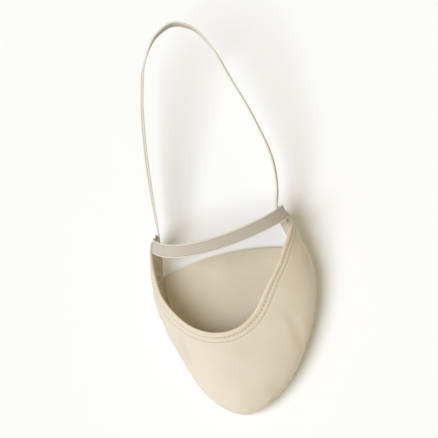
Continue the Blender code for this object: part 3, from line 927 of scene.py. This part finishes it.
# warp over weft over warp
weaveInputs = {"Place": None, "Warp": 0.6, "Weft": 0.5}
plainWeave, ins, outs = newGroup("plainWeave", weaveInputs, ("Height", "Thread"))
parts = put(plainWeave, "ShaderNodeSeparateXYZ", {0: ins["Place"]}).outputs
warp = sums(plainWeave, "DIVIDE", parts[0], ins["Warp"])
weft = sums(plainWeave, "DIVIDE", parts[1], ins["Weft"])
turn = product(plainWeave, sums(plainWeave, "ADD", weft, sums(plainWeave, "FLOOR", warp)), math.pi)
over = sums(plainWeave, "MULTIPLY_ADD", sums(plainWeave, "SINE", turn), 0.5, 0.5)
warpRound, weftRound = (
    sums(plainWeave, "ABSOLUTE", sums(plainWeave, "SINE", product(plainWeave, count, math.pi)))
    for count in (warp, weft)
)
warpTop = product(plainWeave, warpRound, over)
weftTop = product(plainWeave, weftRound, sums(plainWeave, "SUBTRACT", 1.0, over))
join(plainWeave, sums(plainWeave, "MAXIMUM", warpTop, weftTop), outs["Height"])
join(plainWeave, sums(plainWeave, "GREATER_THAN", warpTop, weftTop), outs["Thread"])
print("node groups built:", napGrain.name, floorDust.name, plainWeave.name)

clothLook = {
    "shader": {"Roughness": 0.64, "Sheen Weight": 0.16, "Sheen Roughness": 0.45},
    "light": (0.740, 0.668, 0.560), "deep": (0.718, 0.642, 0.530), "soilAndShade": (0.47, 0.39, 0.28),
    "grain": 0.42, "relief": 0.075, "roughSpread": 0.16,
    "patch": 11.0, "dust": {"Reach": 9.0, "Amount": 0.35}, "creaseShadeShare": 0.30,
    "streakScale": 0.9, "streakEdge": (0.40, 0.72), "streakShare": 0.45, "soilAndShadeShare": 0.12,
}
foldLook = {
    "patch": 7.0, "roll": (0.785, 0.685, 0.555), "rollDeep": (0.730, 0.620, 0.480), "rollEdge": (2.6, 3.4),
    "groove": (0.52, 0.42, 0.30), "grooveEdge": (0.10, 0.55), "grooveShare": 0.45,
    "hole": (0.24, 0.18, 0.11), "holeEdge": (0.12, 0.40), "holeRun": (0.2, 0.6), "holeShare": 0.72,
}


def clothBase(name, patch):
    material, tree, shader = newMaterial(name, clothLook["shader"])
    nap = use(tree, napGrain, {"Grain": clothLook["grain"], "Patch Size": patch})
    smoothest = clothLook["shader"]["Roughness"] - clothLook["roughSpread"] / 2
    rough = sums(tree, "MULTIPLY_ADD", nap["Height"], clothLook["roughSpread"], smoothest)
    tree.links.new(rough, shader.inputs["Roughness"])
    bumped(tree, shader, nap["Height"], clothLook["relief"])
    colour = mixed(tree, nap["Patch"], clothLook["light"], clothLook["deep"])
    return material, tree, shader, nap, colour


def upperCloth():
    look = clothLook
    material, tree, shader, nap, colour = clothBase("beigeMicrofibre", look["patch"])
    dust = use(tree, floorDust, look["dust"])
    # painted shade in the creases, mixed towards the soil-and-shade colour
    colour = mixed(tree, product(tree, mask(tree, "crease"), look["creaseShadeShare"]), colour, look["soilAndShade"])
    streaks = noise(tree, millimetres(tree), look["streakScale"], detail=4.0, rough=0.65)
    streaks = spread(tree, streaks, *look["streakEdge"])
    soiled = sums(tree, "MULTIPLY_ADD", streaks, look["streakShare"], look["soilAndShadeShare"])
    # soil and painted shade: the mask darkens the low wall, the scuffs and the painted shade patches
    scuffAndShade = product(tree, mask(tree, "soilAndShade"), soiled)
    colour = mixed(tree, sums(tree, "MAXIMUM", scuffAndShade, dust["Dust"]), colour, look["soilAndShade"])
    tree.links.new(colour, shader.inputs["Base Color"])
    return material


def hemCloth():
    look = foldLook
    seam = hemLook["seam"]
    material, tree, shader, nap, colour = clothBase("foldedEdge", look["patch"])
    below = mask(tree, "below")
    rolled = mask(tree, "rolled")
    roll = mixed(tree, nap["Patch"], look["roll"], look["rollDeep"])
    onRoll = spread(tree, below, *look["rollEdge"], 1.0, 0.0)
    colour = mixed(tree, product(tree, onRoll, rolled), colour, roll)
    # painted shade: each stitch line is darker in its groove, and darkest in the needle holes between the
    # stitches
    sewn = sums(tree, "SUBTRACT", mask(tree, "seamWay"), seam["first"] + seam["stitch"])
    share = sums(tree, "FRACT", sums(tree, "DIVIDE", sewn, seam["pitch"]))
    gap = 1 - seam["stitch"] / seam["pitch"]  # share of the run between two stitches
    holeRun = (gap * edge for edge in look["holeRun"])
    inGap = spread(tree, apart(tree, share, gap / 2), *holeRun, look["holeShare"], 0.0)
    for line in seam["lines"]:
        near = apart(tree, below, line)
        grooveShade = product(tree, spread(tree, near, *look["grooveEdge"], look["grooveShare"], 0.0), rolled)
        colour = mixed(tree, grooveShade, colour, look["groove"])
        holeShade = product(tree, spread(tree, near, *look["holeEdge"], 1.0, 0.0), inGap)
        colour = mixed(tree, product(tree, holeShade, rolled), colour, look["hole"])
    tree.links.new(colour, shader.inputs["Base Color"])
    return material


threadLook = {
    "shader": {"Roughness": 0.55}, "light": (0.72, 0.63, 0.49), "dark": (0.60, 0.51, 0.38),
    "twist": 0.30, "twistEdge": (0.35, 0.65), "relief": 0.05,
}


def threadFinish():
    look = threadLook
    material, tree, shader = newMaterial("sewingThread", look["shader"])
    twist = noise(tree, millimetres(tree), 1 / look["twist"], detail=1.0)
    colour = mixed(tree, spread(tree, twist, *look["twistEdge"]), look["light"], look["dark"])
    tree.links.new(colour, shader.inputs["Base Color"])
    bumped(tree, shader, twist, look["relief"])
    return material


suedeLook = {
    "shader": {"Roughness": 0.93, "Sheen Weight": 0.25, "Sheen Roughness": 0.6},
    "light": (0.64, 0.54, 0.41), "deep": (0.53, 0.43, 0.31), "worn": (0.40, 0.33, 0.25),
    "nap": {"Grain": 0.55, "Patch Size": 8.0}, "dust": {"Reach": 2.2, "Amount": 0.75}, "relief": 0.10,
    "brush": (0.5, 0.12, 0.5), "strokeScale": 1.3, "strokeEdge": (0.38, 0.66), "strokeShare": 0.40,
    "strokeRelief": 0.3, "wornIn": (3.0, 22.0), "wornMiddle": 0.7, "wornRim": 0.15,
    "edge": (0.68, 0.58, 0.45), "edgeRun": (0.1, 0.8), "edgeShare": 0.6,
}


def suedeFinish():
    look = suedeLook
    material, tree, shader = newMaterial("soleSuede", look["shader"])
    nap = use(tree, napGrain, look["nap"])
    dust = use(tree, floorDust, look["dust"])
    brushLinks = {0: millimetres(tree), 1: look["brush"]}
    brushed = put(tree, "ShaderNodeVectorMath", brushLinks, operation="MULTIPLY").outputs[0]
    strokes = noise(tree, brushed, look["strokeScale"], detail=4.0, rough=0.65)
    strokes = spread(tree, strokes, *look["strokeEdge"])
    colour = mixed(tree, nap["Patch"], look["light"], look["deep"])
    colour = mixed(tree, product(tree, strokes, look["strokeShare"]), colour, look["deep"])
    rim = mask(tree, "rim")
    inside = spread(tree, rim, *look["wornIn"])
    inside = sums(tree, "MULTIPLY_ADD", inside, look["wornMiddle"], look["wornRim"])
    colour = mixed(tree, product(tree, dust["Dust"], inside), colour, look["worn"])
    colour = mixed(tree, spread(tree, rim, *look["edgeRun"], look["edgeShare"], 0.0), colour, look["edge"])
    tree.links.new(colour, shader.inputs["Base Color"])
    height = sums(tree, "MULTIPLY_ADD", strokes, look["strokeRelief"], nap["Height"])
    bumped(tree, shader, height, look["relief"])
    return material


sockLook = {
    "shader": {"Roughness": 0.85, "Sheen Weight": 0.12},
    "light": (0.76, 0.69, 0.575), "deep": (0.70, 0.62, 0.495), "pressed": (0.60, 0.52, 0.40),
    "thread": 0.55, "threadShare": 0.10, "pressedShare": 0.5,
    "nap": {"Grain": 0.5, "Patch Size": 14.0}, "napRelief": 0.6, "relief": 0.06,
}


def sockFinish():
    look = sockLook
    material, tree, shader = newMaterial("sockCloth", look["shader"])
    weaveLinks = {"Place": millimetres(tree), "Warp": look["thread"], "Weft": look["thread"]}
    weave = use(tree, plainWeave, weaveLinks)
    nap = use(tree, napGrain, look["nap"])
    colour = mixed(tree, nap["Patch"], look["light"], look["deep"])
    colour = mixed(tree, product(tree, weave["Thread"], look["threadShare"]), colour, look["deep"])
    colour = mixed(tree, product(tree, mask(tree, "pressed"), look["pressedShare"]), colour, look["pressed"])
    tree.links.new(colour, shader.inputs["Base Color"])
    height = sums(tree, "MULTIPLY_ADD", nap["Height"], look["napRelief"], weave["Height"])
    bumped(tree, shader, height, look["relief"])
    return material


tapeLook = {
    "shader": {"Roughness": 0.72, "Sheen Weight": 0.10},
    "light": (0.655, 0.603, 0.540), "deep": (0.470, 0.420, 0.362), "cord": (0.740, 0.690, 0.625),
    "line": (0.33, 0.28, 0.22), "lineAt": 2.95, "lineEdge": (0.05, 0.30), "lineShare": 0.55,
    "cordEdge": (3.05, 3.35), "weft": 0.8, "ridgeShare": 0.60, "weaveShare": 0.30,
    "nap": {"Grain": 0.25, "Patch Size": 16.0}, "patchShare": 0.25, "napRelief": 0.3, "relief": 0.07,
}


def tapeFinish():
    look = tapeLook
    material, tree, shader = newMaterial("wovenElastic", look["shader"])
    run = put(tree, "ShaderNodeUVMap", uv_map="run").outputs[0]
    parts = put(tree, "ShaderNodeSeparateXYZ", {0: run}).outputs
    turned = put(tree, "ShaderNodeCombineXYZ", {0: parts[1], 1: parts[0]}).outputs[0]
    weave = use(tree, plainWeave, {"Place": turned, "Warp": elasticLook["rib"], "Weft": look["weft"]})
    nap = use(tree, napGrain, look["nap"])
    # painted light and shade across the ribs: lighter on each rib's top and on the raised threads, darker in
    # between
    wave = sums(tree, "COSINE", product(tree, parts[1], 2 * math.pi / elasticLook["rib"]))
    ridge = sums(tree, "MULTIPLY_ADD", wave, 0.5, 0.5)
    woven = product(tree, weave["Height"], look["weaveShare"])
    lit = sums(tree, "MULTIPLY_ADD", ridge, look["ridgeShare"], woven)
    colour = mixed(tree, lit, look["deep"], look["light"])
    colour = mixed(tree, product(tree, nap["Patch"], look["patchShare"]), colour, look["deep"])
    # painted shade in the groove along the foot of each cord
    across = sums(tree, "ABSOLUTE", parts[1])
    near = apart(tree, across, look["lineAt"])
    colour = mixed(tree, spread(tree, near, *look["lineEdge"], look["lineShare"], 0.0), colour, look["line"])
    colour = mixed(tree, spread(tree, across, *look["cordEdge"]), colour, look["cord"])
    tree.links.new(colour, shader.inputs["Base Color"])
    height = sums(tree, "MULTIPLY_ADD", nap["Height"], look["napRelief"], weave["Height"])
    bumped(tree, shader, height, look["relief"])
    return material


looks = {
    "upperFabric": upperCloth(), "collarHem": hemCloth(), "hemStitches": threadFinish(),
    "suedeSole": suedeFinish(), "insoleSock": sockFinish(), "instepElastic": tapeFinish(),
}
looks["heelElastic"] = looks["instepElastic"]
for name in ("soleStitches", "instepTacks", "heelTacks"):
    looks[name] = looks["hemStitches"]

pieces = {
    "upperFabric": (upperFabric, "upper"), "collarHem": (collarHem, "collar_hem"),
    "suedeSole": (suedeSole, "outsole"), "insoleSock": (insoleSock, "insole"),
    "instepElastic": (instepElastic, "instep_strap"), "heelElastic": (heelElastic, "heel_strap"),
}
threads = {  # piece, and the part that it is sewn into
    "hemStitches": (hemStitches, "collar_hem"), "soleStitches": (soleStitches, "outsole"),
    "instepTacks": (instepTacks, "instep_strap"), "heelTacks": (heelTacks, "heel_strap"),
}
for piece, node in pieces.values():
    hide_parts(node)
for name, (piece, node) in {**pieces, **threads}.items():
    piece.data.materials.append(looks[name])
    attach(piece, "root")
print("pieces dressed:", len(pieces) + len(threads))

# floor, light and camera

studio = {
    "floor": {"Base Color": (0.95, 0.965, 1.0, 1.0), "Roughness": 0.85},
    "floorReach": 3.0, "floorDrop": 0.0002,
    "world": {"Color": (1.0, 0.90, 0.62, 1.0), "Strength": 0.33},
    "suns": (  # name, where it shines from, strength, softness in degrees, colour
        ("keySoft", (-0.60, -0.22, 0.95), 2.66, 38.0, (0.905, 0.940, 1.0)),
        ("fillSoft", (0.75, 0.05, 0.60), 0.32, 50.0, (1.0, 0.82, 0.45)),
    ),
    "azimuth": -4.5, "elevation": 76.0, "roll": -8.7, "distance": 1.5, "target": (0.0, 0.0, 0.020),
    "pixelsPerMetre": 1720.0, "photoWidth": 438, "sensor": 36.0,
}

corners = [(x * studio["floorReach"], y * studio["floorReach"], -studio["floorDrop"])
           for x, y in ((-1, -1), (1, -1), (1, 1), (-1, 1))]
floorMesh = bpy.data.meshes.new("floor")
floorMesh.from_pydata(corners, [], [(0, 1, 2, 3)])
floor = bpy.data.objects.new("floor", floorMesh)
scene.collection.objects.link(floor)
floorMesh.materials.append(newMaterial("paleFloor", studio["floor"])[0])

world = bpy.data.worlds.new("studio")
world.use_nodes = True
for label, value in studio["world"].items():
    world.node_tree.nodes["Background"].inputs[label].default_value = value
scene.world = world
for name, place, strength, softness, colour in studio["suns"]:
    lamp = bpy.data.lights.new(name, "SUN")
    lamp.energy = strength
    lamp.angle = math.radians(softness)
    lamp.color = colour
    holder = bpy.data.objects.new(name, lamp)
    holder.location = place
    holder.rotation_euler = (-Vector(place)).to_track_quat("-Z", "Y").to_euler()
    scene.collection.objects.link(holder)

azimuth, elevation, roll = (math.radians(studio[key]) for key in ("azimuth", "elevation", "roll"))
level = Vector((math.cos(azimuth), math.sin(azimuth), 0.0))
behind = Vector((math.sin(azimuth), -math.cos(azimuth), 0.0))
away = behind * math.cos(elevation) + Vector((0.0, 0.0, math.sin(elevation)))
upright = away.cross(level)
right = math.cos(roll) * level + math.sin(roll) * upright
above = math.cos(roll) * upright - math.sin(roll) * level
lens = bpy.data.cameras.new("photoView")
lens.sensor_width = studio["sensor"]
lens.lens = studio["sensor"] * studio["distance"] * studio["pixelsPerMetre"] / studio["photoWidth"]
camera = bpy.data.objects.new("photoView", lens)
scene.collection.objects.link(camera)
spot = Vector(studio["target"]) + away * studio["distance"]
camera.matrix_world = Matrix((
    (right.x, above.x, away.x, spot.x),
    (right.y, above.y, away.y, spot.y),
    (right.z, above.z, away.z, spot.z),
    (0.0, 0.0, 0.0, 1.0),
))
scene.camera = camera
scene.view_settings.view_transform = "Standard"
print("camera set, lens in mm:", round(lens.lens, 1))
